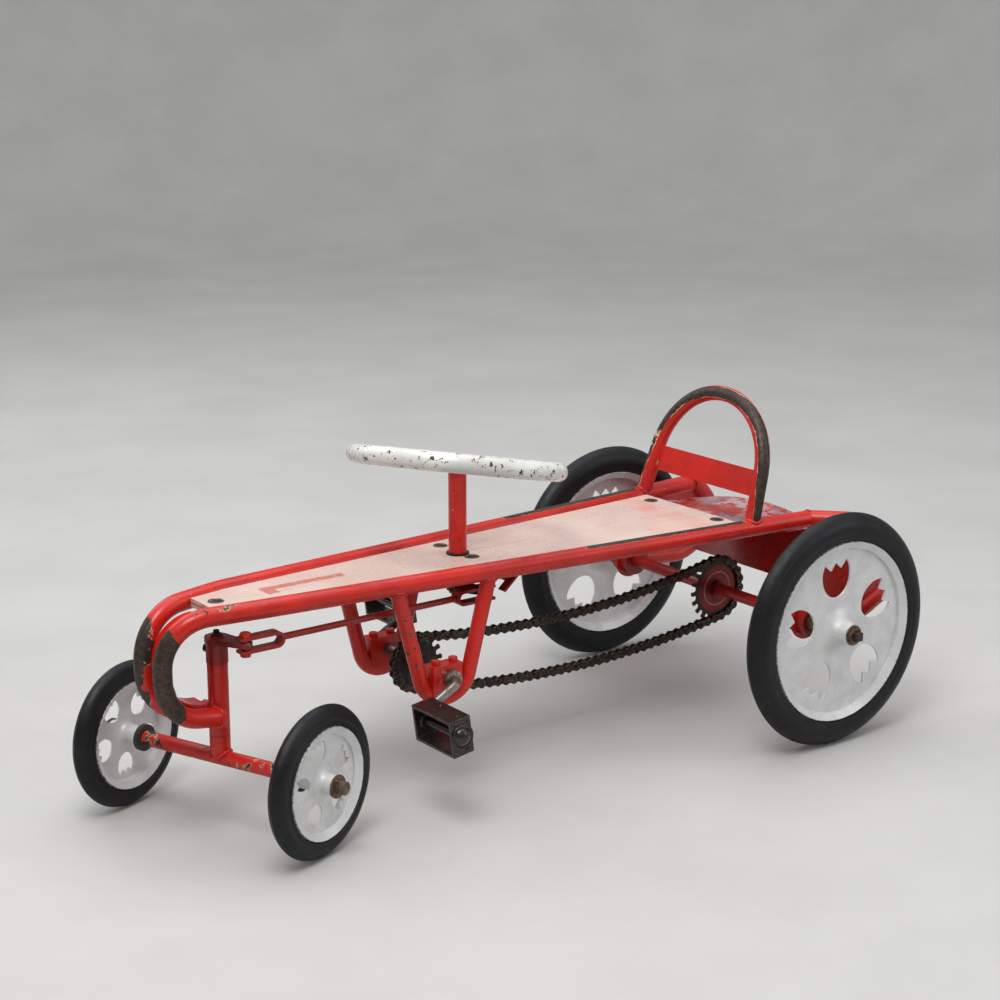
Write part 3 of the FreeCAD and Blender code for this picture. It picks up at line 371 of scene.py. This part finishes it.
def pedal_enamel(name):
    """Nearly black brown enamel, brown where its edges are rubbed."""
    skin = Finish(name)
    edge = skin.corners(2.2)
    grain = skin.noise(120, 5, 0.65)
    rub = skin.step(skin.calc("ADD", grain, skin.calc("MULTIPLY", edge, 0.22)), 0.60, 0.72)
    base = skin.mix(skin.step(skin.noise(40, 3, 0.6), 0.35, 0.7), (0.012, 0.008, 0.008), (0.030, 0.017, 0.015))
    colour = skin.mix(rub, base, (0.115, 0.062, 0.050))
    flake = skin.step(skin.noise(190, 3, 0.6, shift=4.0), 0.715, 0.725, 0.0, 0.9)
    colour = skin.mix(flake, colour, (0.34, 0.27, 0.20))
    height = skin.calc("MULTIPLY", skin.noise(300, 3, 0.6), 0.3)
    return skin.finish(colour, skin.step(rub, 0.0, 1.0, 0.20, 0.48), 0.1, height, 0.3, coat=0.25)


def laminate(name):
    """Pale pink laminate on a board whose two plies show at the edge, with a worn red stripe."""
    skin = Finish(name)
    forward = skin.along(FORWARD, at(0, 0, 0))
    across = skin.along(LEFT, at(0, 0, 0))
    depth = skin.calc("SUBTRACT", skin.along(UP, at(0, 0, 270)), skin.calc("MULTIPLY", forward, 0.0096))
    cloud = skin.step(skin.noise(9, 4, 0.6), 0.35, 0.7)
    top = skin.mix(cloud, (0.67, 0.51, 0.455), (0.60, 0.435, 0.38))
    smear = skin.step(skin.noise(30, 4, 0.7, stretch=(0.25, 1.2, 1), shift=3.0), 0.56, 0.84, 0.0, 0.22)
    top = skin.mix(smear, top, (0.50, 0.32, 0.26))
    ragged = skin.calc("MULTIPLY", skin.calc("SUBTRACT", skin.noise(240, 4, 0.7), 0.5), 5.0)
    bar = skin.calc("MULTIPLY", skin.band(skin.calc("ADD", forward, ragged), 590, 702, 1.5),
                    skin.band(skin.calc("ADD", across, ragged), -10.5, 1.0, 1.2))
    toe = skin.calc("MULTIPLY", skin.band(skin.calc("ADD", forward, ragged), 688, 702, 1.5),
                    skin.band(skin.calc("ADD", across, ragged), 0.0, 15.0, 1.2))
    stripe = skin.calc("MULTIPLY", skin.calc("MAXIMUM", bar, toe), skin.step(skin.noise(150, 4, 0.7, shift=2.0), 0.28, 0.5, 0.25, 0.85))
    top = skin.mix(stripe, top, (0.52, 0.10, 0.07))
    blush = skin.calc("MULTIPLY", skin.band(forward, 78, 104, 12), skin.step(skin.noise(34, 3, 0.6, shift=6.0), 0.3, 0.7, 0.10, 0.42))
    top = skin.mix(blush, top, (0.66, 0.22, 0.15))
    scratch = skin.step(skin.noise(60, 2, 0.5, stretch=(0.12, 3.0, 1), shift=8.0), 0.66, 0.69, 0.0, 0.35)
    top = skin.mix(scratch, top, (0.40, 0.28, 0.22))
    speck = skin.step(skin.noise(330, 2, 0.5, shift=5.5), 0.715, 0.735)
    top = skin.mix(speck, top, (0.42, 0.14, 0.04))
    chip = skin.step(skin.total([skin.noise(150, 5, 0.65, shift=1.0), skin.calc("MULTIPLY", skin.corners(2.0), 0.15)]), 0.715, 0.725)
    ply = skin.mix(skin.band(depth, -5.6, -4.6, 0.3), (0.70, 0.50, 0.42), (0.20, 0.10, 0.06))
    ply = skin.mix(skin.step(skin.noise(170, 5, 0.7, shift=7.0), 0.52, 0.66, 0.0, 0.75), ply, (0.14, 0.075, 0.045))
    side = skin.step(depth, -0.9, -0.5, 1, 0)
    colour = skin.mix(chip, skin.mix(side, top, ply), (0.07, 0.04, 0.026))
    height = skin.total([skin.calc("MULTIPLY", skin.noise(190, 3, 0.6), 0.12), skin.calc("MULTIPLY", chip, -0.7)])
    rough = skin.step(skin.noise(22, 4, 0.7, shift=2.5), 0.3, 0.75, 0.22, 0.40)
    return skin.finish(colour, rough, 0.0, height, 0.25, coat=0.1)


def cowl_finish(name):
    """Red sheet with worn, faded scraps of old film on top."""
    skin = Finish(name)
    forward = skin.along(FORWARD, at(0, 0, 0))
    height_mm = skin.along(UP, at(0, 0, 0))
    grain = skin.noise(62, 5, 0.65)
    scraps = skin.cells(20, "F1", "Color")
    shade = skin.add("SeparateColor", {"Color": scraps}).outputs[0]
    film = skin.mix(skin.step(shade, 0.38, 0.42), (0.56, 0.30, 0.30), (0.48, 0.42, 0.44))
    film = skin.mix(skin.step(shade, 0.72, 0.76), film, (0.22, 0.25, 0.30))
    patch = skin.calc("MULTIPLY", skin.step(grain, 0.44, 0.50), skin.step(skin.noise(15, 3, 0.6, shift=3.0), 0.40, 0.50))
    zone = skin.calc("MULTIPLY", skin.band(forward, -100, 34, 10), skin.step(height_mm, 243, 247))
    share = skin.calc("MULTIPLY", skin.calc("MULTIPLY", patch, zone), 0.72)
    paint = skin.mix(skin.step(skin.noise(22, 4, 0.6), 0.35, 0.7), (0.46, 0.018, 0.010), (0.30, 0.012, 0.009))
    colour = skin.mix(share, paint, film)
    chip = skin.step(skin.total([skin.noise(110, 5, 0.65, shift=8.0), skin.calc("MULTIPLY", skin.corners(), 0.10)]), 0.69, 0.70)
    colour = skin.mix(chip, colour, (0.04, 0.028, 0.022))
    bump = skin.total([skin.calc("MULTIPLY", skin.noise(60, 2, 0.5), 0.3), skin.calc("MULTIPLY", share, 0.5)])
    return skin.finish(colour, skin.step(grain, 0.3, 0.7, 0.24, 0.40), 0.0, bump, 0.3, coat=0.1)


def sprocket_finish(name):
    """Red sprocket with greasy black teeth and a pale ring round it, over a shallow groove."""
    skin = Finish(name)
    radius = skin.from_axis(at(0, 0, 152.4), LEFT)
    ragged = skin.calc("ADD", radius, skin.calc("MULTIPLY", skin.calc("SUBTRACT", skin.noise(150, 4, 0.7), 0.5), 6.0))
    paint = skin.mix(skin.step(skin.noise(60, 4, 0.6), 0.35, 0.7), (0.26, 0.012, 0.010), (0.12, 0.010, 0.009))
    # A pale ring painted over the shallow groove at 23 mm from the axle.
    pale_ringed = skin.mix(skin.band(radius, 22.2, 23.6, 0.4), paint, (0.36, 0.20, 0.16))
    colour = skin.mix(skin.step(ragged, 30.0, 34.0), pale_ringed, (0.030, 0.018, 0.014))
    height = skin.total([
        skin.calc("MULTIPLY", skin.noise(300, 3, 0.6), 0.5),
        skin.calc("MULTIPLY", skin.band(radius, 22.2, 23.6, 0.4), -0.8)])
    return skin.finish(colour, 0.42, 0.25, height, 0.3)


for name, side in SIDES.items():
    dress(name + "_rail", enamel(name + "_rail_enamel", RED, wear=-0.03, worn=rail_wear(side), rim=0.012))
dress("seat_hoop", enamel("hoop_enamel", RED, wear=-0.15, worn=hoop_wear, rim=0.10))
dress("left_hanger", enamel("left_hanger_enamel", RED, wear=-0.02, worn=hanger_wear, flakes=0.15))
dress("crank_bearings", enamel("block_enamel", RED, wear=-0.01, worn=block_wear, edge_wear=0.06))
dress("front_beam", enamel("beam_enamel", RED, wear=0.055, worn=beam_wear, grain_scale=80, rough=0.32))
painted("frame_enamel", "left_rear_hook", "right_rear_hook", "right_hanger", "backrest_bar", "nose_strip", wear=-0.045)
painted("head_enamel", "head_tube", "kingpin", wear=0.0)
deep = enamel("deep_enamel", DEEP_RED, wear=-0.01, rough=0.30)
for member in ("column_bracket", "steering_collar", "axle_bearings", "link_clevises"):
    dress(member, deep)
dress("rear_axle_shaft", enamel("shaft_enamel", (0.40, 0.012, 0.008), wear=-0.01, worn=shaft_wear))
for member in ("left_axle_plate", "right_axle_plate"):
    dress(member, enamel(member + "_enamel", (0.50, 0.014, 0.008), wear=-0.02))
dress("rear_cowl", cowl_finish("cowl_enamel"))
dress("rear_sprocket", sprocket_finish("sprocket_enamel"))
dress("front_arm", enamel("arm_enamel", (0.20, 0.010, 0.008), wear=0.07, rough=0.36))
dress("drag_rod", enamel("rod_enamel", (0.34, 0.014, 0.010), wear=-0.02, rough=0.26))
dress("seat_board", laminate("board_laminate_skin"))

white = enamel("wheel_enamel", (0.80, 0.78, 0.74), wear=0.095, flakes=0.0, rough=0.20, grain_scale=125, rim=0.002)
for member in ("steering_rim", "steering_spokes"):
    dress(member, white)
dress("steering_column", enamel("column_enamel", RED, wear=0.0))

WHEELS = {
    "left_rear": (at(0, 228.6, 152.4), LEFT, 117.7, 152.4),
    "right_rear": (at(0, -228.6, 152.4), LEFT, 117.7, 152.4),
    "left_front": (at(763.8, 0, 88.9) + AXLE_WAY * 0.1426, AXLE_WAY, 65.9, 88.9),
    "right_front": (at(763.8, 0, 88.9) - AXLE_WAY * 0.1426, AXLE_WAY, 65.9, 88.9),
}
for name, (centre, way, lip, radius) in WHEELS.items():
    dress(name + "_disc", silver(name + "_silver", centre, way, lip))
    dress(name + "_tyre", rubber(name + "_rubber", centre, way, lip, radius))

rusty = steel("rusty_metal", (0.20, 0.135, 0.095), (0.075, 0.042, 0.028), 0.55)
greasy = steel("greasy_chain", (0.085, 0.060, 0.047), (0.022, 0.016, 0.013), 0.75, (0.30, 0.60), 260)
black_steel = steel("black_metal", (0.035, 0.027, 0.024), (0.014, 0.011, 0.010), 0.5, (0.30, 0.55))
plated = steel("dirty_plating", (0.34, 0.31, 0.28), (0.13, 0.085, 0.065), 0.85, (0.24, 0.50), 120, (0.40, 0.64))
cup = steel("cup_black", (0.022, 0.020, 0.019), (0.045, 0.036, 0.030), 0.0, (0.40, 0.65), 150)
pedal_skin = pedal_enamel("pedal_enamel_skin")
for member in ("rear_axle_nuts", "rear_axle_washers", "front_axle_washers", "front_split_pins", "front_axle_rod"):
    dress(member, rusty)
for member in ("chain_outer_links", "chain_inner_links"):
    dress(member, greasy)
for member in ("front_sprocket", "board_screws", "column_arm", "rear_link_pin", "right_crank_arm", "column_collar"):
    dress(member, black_steel)
for member in ("left_crank_arm", "crank_axle"):
    dress(member, plated)
for member in ("left_pedal_cage", "right_pedal_cage", "left_pedal_cap", "right_pedal_cap", "pedal_spindles"):
    dress(member, pedal_skin)
dress("front_hub_cups", cup)
red_bits = enamel("fastener_enamel", RED, wear=0.01)
for member in ("crank_bearing_bolts", "front_link_pin"):
    dress(member, red_bits)


# ---------------------------------------------------------------- added pieces

def piece(name, body, material, shape):
    """Turn a bmesh into a smooth-shaded piece that rides on a body."""
    bmesh.ops.recalc_face_normals(shape, faces=shape.faces)
    mesh = bpy.data.meshes.new(name)
    shape.to_mesh(mesh)
    shape.free()
    for face in mesh.polygons:
        face.use_smooth = True
    mesh.materials.append(material)
    thing = bpy.data.objects.new(name, mesh)
    scene.collection.objects.link(thing)
    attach(thing, body)
    return thing


def sharpen(thing, width=0.35):
    """A small rounded edge where two faces meet sharply."""
    edge = thing.modifiers.new("edges", "BEVEL")
    edge.width = width * MM
    edge.segments = 2
    edge.limit_method = "ANGLE"
    edge.harden_normals = True


def across_pair(way):
    first = way.orthogonal().normalized()
    return first, way.cross(first).normalized()


def bead_mesh(shape, path, radius, closed=True, sides=8):
    """A rippled weld bead along a path of points."""
    rings = []
    count = len(path)
    for number, point in enumerate(path):
        before = path[(number - 1) % count] if closed or number else point
        after = path[(number + 1) % count] if closed or number < count - 1 else point
        way = (after - before).normalized()
        first, second = across_pair(way)
        end = 1.0 if closed else min(1.0, 0.35 + min(number, count - 1 - number) * 0.3)
        swell = radius * MM * end * (0.86 + 0.26 * abs(math.sin(number * 0.9)) + random.uniform(-0.1, 0.1))
        ring = []
        for step in range(sides):
            angle = 2 * math.pi * step / sides
            ring.append(shape.verts.new(point + (first * math.cos(angle) + second * math.sin(angle)) * swell))
        rings.append(ring)
    for number in range(count if closed else count - 1):
        here, there = rings[number], rings[(number + 1) % count]
        shift = min(range(sides), key=lambda turn: sum(
            (here[step].co - there[(step + turn) % sides].co).length for step in range(sides)))
        for step in range(sides):
            following = (step + 1) % sides
            shape.faces.new((here[step], here[following], there[(following + shift) % sides], there[(step + shift) % sides]))
    if not closed:
        shape.faces.new(rings[0])
        shape.faces.new(rings[-1])


def tube_joint(foot, way, radius, main_foot, main_way, main_radius, count=46):
    """The curve where a tube that leaves along way meets a larger tube."""
    first, second = across_pair(way)
    points = []
    for number in range(count):
        angle = 2 * math.pi * number / count
        start = foot + (first * math.cos(angle) + second * math.sin(angle)) * radius * MM
        offset = (start - main_foot).cross(main_way)
        drift = way.cross(main_way)
        a, b, c = drift.dot(drift), 2 * offset.dot(drift), offset.dot(offset) - (main_radius * MM) ** 2
        root = math.sqrt(max(b * b - 4 * a * c, 0))
        points.append(start + way * ((-b + root) / (2 * a)))
    return points


def weld(name, body, material, paths, radius, closed=True):
    shape = bmesh.new()
    for path in paths:
        bead_mesh(shape, path, radius, closed)
    thing = piece(name, body, material, shape)
    smooth = thing.modifiers.new("soft", "SUBSURF")
    smooth.levels = smooth.render_levels = 1
    return thing


def turned(shape, centre, way, profile, sides=48):
    """Spin an outline of (radius, height) in millimetres about an axis."""
    first, second = across_pair(way)
    rings = []
    for radius, height in profile:
        middle_point = centre + way * height * MM
        if radius == 0:
            rings.append([shape.verts.new(middle_point)] * sides)
            continue
        rings.append([
            shape.verts.new(middle_point + (
                first * math.cos(2 * math.pi * k / sides) + second * math.sin(2 * math.pi * k / sides)) * radius * MM)
            for k in range(sides)])
    for here, there in zip(rings, rings[1:]):
        for k in range(sides):
            corners = [here[k], here[(k + 1) % sides], there[(k + 1) % sides], there[k]]
            unique = list(dict.fromkeys(corners))
            if len(unique) > 2:
                shape.faces.new(unique)


def nut(shape, centre, way, across, height, dome=0.8):
    """A hexagon with a chamfered, slightly domed face."""
    first, second = across_pair(way)
    def ring(radius, level, round_share):
        corners = []
        for k in range(36):
            angle = 2 * math.pi * k / 36
            hexagonal = math.cos(math.pi / 6) / math.cos((angle % (math.pi / 3)) - math.pi / 6)
            reach = radius * (hexagonal * (1 - round_share) + round_share * math.cos(math.pi / 6))
            corners.append(shape.verts.new(
                centre + way * level * MM + (first * math.cos(angle) + second * math.sin(angle)) * reach * MM))
        return corners
    rings = [ring(across, 0, 0.1), ring(across, height - dome, 0), ring(across * 0.9, height, 0.9)]
    for here, there in zip(rings, rings[1:]):
        for k in range(36):
            shape.faces.new((here[k], here[(k + 1) % 36], there[(k + 1) % 36], there[k]))
    shape.faces.new(rings[-1])
    shape.faces.new(rings[0])


def rail_line(side):
    """A point and the direction of a rail's straight run."""
    start = at(-58, side * 117, 265)
    end = at(735, side * (117 - 0.0889 * 793), 265 + 0.0096 * 793)
    return start, (end - start).normalized()


weld_red = enamel("weld_enamel", RED, wear=0.015, flakes=0.9, edge_wear=0.0, grain_scale=150, rough=0.20)
hanger_tops = []
hoop_feet = []
for name, side in SIDES.items():
    rail_foot, rail_way = rail_line(side)
    slant = math.atan(0.0889)
    for lean in (-1, 1):
        rail_y = 117 - 0.0889 * 554
        top = at(496 + lean * 64.3 * math.cos(slant), side * (rail_y - lean * 64.3 * math.sin(slant)), 271)
        foot = at(496, side * rail_y, 19)
        hanger_tops.append(tube_joint(top, (foot - top).normalized(), 9.25, rail_foot, rail_way, 11.1))
    hoop_foot = at(36.3, side * 107.5, 268)
    rise = Vector((-math.sin(HOOP_LEAN) * 157, -side * 15.9, math.cos(HOOP_LEAN) * 157)).normalized()
    hoop_feet.append(tube_joint(hoop_foot, rise, 10.0, rail_foot, rail_way, 11.1))
weld("hanger_welds", "frame", weld_red, hanger_tops, 2.0)
weld("hoop_welds", "frame", weld_red, hoop_feet, 2.4)

hook_rings = []
for name, side in SIDES.items():
    rail_foot, rail_way = rail_line(side)
    first, second = across_pair(rail_way)
    ring = []
    for k in range(48):
        angle = 2 * math.pi * k / 48
        ring.append(at(-57, side * 117, 265) + (first * math.cos(angle) + second * math.sin(angle)) * 11.2 * MM)
    hook_rings.append(ring)
weld("hook_welds", "frame", weld_red, hook_rings, 1.3)

bar_ends = []
for side in SIDES.values():
    path = []
    for k in range(13):
        rise = 36.5 + 34 * k / 12
        path.append(at(36.3 - rise * math.sin(HOOP_LEAN) + 1.5, side * (97.2 - 0.101 * rise), 268 + rise * math.cos(HOOP_LEAN)))
    bar_ends.append(path)
bar_weld = enamel("bar_weld_enamel", RED, wear=0.075, flakes=1.0, edge_wear=0.0, grain_scale=190)
weld("bar_welds", "frame", bar_weld, bar_ends, 2.2, closed=False)


def weld_mass(shape, centre, reach, lump=0.12):
    """A lumpy mass of weld metal."""
    made = bmesh.ops.create_icosphere(shape, subdivisions=4, radius=1.0)
    for vert in made["verts"]:
        way = vert.co.normalized()
        wave = math.sin(way.x * 9 + 1) * math.sin(way.y * 8 + 2) * math.sin(way.z * 10)
        vert.co = centre + Vector((way.x * reach[0], way.y * reach[1], way.z * reach[2])) * MM * (1 + lump * wave)


masses = bmesh.new()
for side in SIDES.values():
    weld_mass(masses, at(769.5, side * 13.5, 143.2), (6.5, 11.8, 11.8))
piece("nose_weld_masses", "frame", weld_red, masses)
nose_beads = []
for side in SIDES.values():
    path = []
    for k in range(26):
        angle = math.radians(-150 + 300 * k / 25)
        path.append(at(773.5 - 3 * math.cos(angle), side * (13.9 + 10.6 * math.cos(angle)), 143.6 + 11.2 * math.sin(angle)))
    nose_beads.append(path)
weld("nose_welds", "frame", weld_red, nose_beads, 2.3, closed=False)

beam_joint = tube_joint(at(763.8, 0, 88.9), UP, 12.0, at(763.8, 0, 88.9), AXLE_WAY, 12.05)
weld("kingpin_weld", "front_axle", weld_red, [tube_joint(at(763.8, 0, 88.9), UP, 12.0, at(763.8, 0, 86), AXLE_WAY, 12.6)], 2.6)

bearing_beads = []
for side in SIDES.values():
    path = []
    for k in range(9):
        path.append(at(488 + k * 2.5, side * 77.5, 128.5))
    bearing_beads.append(path)
weld("bearing_welds", "frame", weld_red, bearing_beads, 2.0, closed=False)

pins = bmesh.new()
front_pin = at(763.8, 0, 0) + Vector((math.cos(YAW + math.pi / 2), math.sin(YAW + math.pi / 2), 0)) * 0.042
nut(pins, front_pin + UP * 0.2415, UP, 7.4, 5.0, 2.2)
nut(pins, front_pin + UP * 0.2225, -UP, 6.6, 4.6, 0.8)
sharpen(piece("front_pin_nuts", "front_axle", red_bits, pins))
pins = bmesh.new()
rear_pin = at(427, 0, 0) + Vector((math.cos(YAW + math.pi / 2), math.sin(YAW + math.pi / 2), 0)) * 0.042
nut(pins, rear_pin + UP * 0.2415, UP, 7.2, 2.3, 0.8)
nut(pins, rear_pin + UP * 0.2225, -UP, 6.6, 4.6, 0.8)
sharpen(piece("rear_pin_nuts", "drag_link", black_steel, pins))

clamp = bmesh.new()
clamp_way = Vector((0.62, -0.78, 0)).normalized()
nut(clamp, at(763.8, 0, 220) + clamp_way * 0.0118, clamp_way, 4.8, 4.2)
turned(clamp, at(763.8, 0, 236), UP, [(7.5, 0), (7.5, 1.6), (6.6, 2.2), (3.6, 2.4), (3.6, 6.0), (2.9, 6.6), (0, 6.8)], 32)
piece("collar_bolts", "front_axle", black_steel, clamp)

cups = bmesh.new()
tilt = Vector((-math.sin(math.radians(0.55)), 0, math.cos(math.radians(0.55))))
for x, y in ((765.0, 3.6), (424.0, -41.0), (421.5, 22.0), (61.5, -62.0), (57.0, 63.5)):
    seat = at(x, y, 270 + 0.0096 * x)
    turned(cups, seat, tilt, [(9.4, 0.0), (9.0, 0.7), (8.3, 0.9), (7.7, 0.6), (7.6, -0.3)])
piece("screw_cups", "frame", rusty, cups)

SPINDLE = {"left": (492.6 + 66 * math.cos(math.radians(-25.5)), 148.3 + 66 * math.sin(math.radians(-25.5))),
           "right": (492.6 - 66 * math.cos(math.radians(-25.5)), 148.3 - 66 * math.sin(math.radians(-25.5)))}
for name, side in SIDES.items():
    x, z = SPINDLE[name]
    flange = bmesh.new()
    turned(flange, at(x, side * 181.0, z), LEFT * side, [(15.4, 0.0), (15.4, 1.4), (14.6, 2.1), (13.0, 2.2), (12.1, 1.2), (11.6, 1.6)])
    turned(flange, at(x, side * 108.0, z), LEFT * side, [(6.1, 0), (10.5, 0), (10.5, 5), (9.6, 6), (6.1, 6)])
    turned(flange, at(x, side * 178.0, z), -LEFT * side, [(6.1, 0), (10.5, 0), (10.5, 5), (9.6, 6), (6.1, 6)])
    piece(name + "_pedal_flanges", name + "_pedal", pedal_skin, flange)
    rivets = bmesh.new()
    for drop in (-17.5, 17.5):
        for forward in (-8.5, 8.5):
            turned(rivets, at(x + forward, side * 181.0, z + drop - forward * 0.144), LEFT * side,
                   [(2.3, 0.0), (2.2, 0.7), (1.5, 1.25), (0, 1.45)], 20)
    piece(name + "_pedal_rivets", name + "_pedal", pedal_skin, rivets)

for name in ("left_pedal_cage", "right_pedal_cage", "crank_bearings", "backrest_bar", "column_bracket", "front_arm",
             "left_axle_plate", "right_axle_plate"):
    sharpen(nodes[name], 0.5)


# ---------------------------------------------------------------- floor

FLAT_RADIUS, CURVE, WALL_TOP, SPOKES = 4.4, 2.0, 5.0, 72
outline = [(0.02, 0.0), (1.5, 0.0), (3.0, 0.0)]
for step in range(17):
    angle = math.radians(90 * step / 16)
    outline.append((FLAT_RADIUS + CURVE * math.sin(angle), CURVE - CURVE * math.cos(angle)))
outline.append((FLAT_RADIUS + CURVE, WALL_TOP))
ground = bmesh.new()
rings = [[ground.verts.new((away * math.cos(2 * math.pi * k / SPOKES), away * math.sin(2 * math.pi * k / SPOKES), height))
          for k in range(SPOKES)] for away, height in outline]
ground.faces.new(rings[0])
for here, there in zip(rings, rings[1:]):
    for k in range(SPOKES):
        following = (k + 1) % SPOKES
        ground.faces.new((here[k], there[k], there[following], here[following]))
floor_mesh = bpy.data.meshes.new("floor")
ground.to_mesh(floor_mesh)
ground.free()
for face in floor_mesh.polygons:
    face.use_smooth = True
floor = bpy.data.objects.new("floor", floor_mesh)
scene.collection.objects.link(floor)
stone = Finish("floor_finish")
pale = stone.mix(stone.step(stone.noise(3.5, 4, 0.6), 0.3, 0.7), (0.53, 0.525, 0.51), (0.49, 0.485, 0.47))
floor_mesh.materials.append(stone.finish(pale, 0.7))
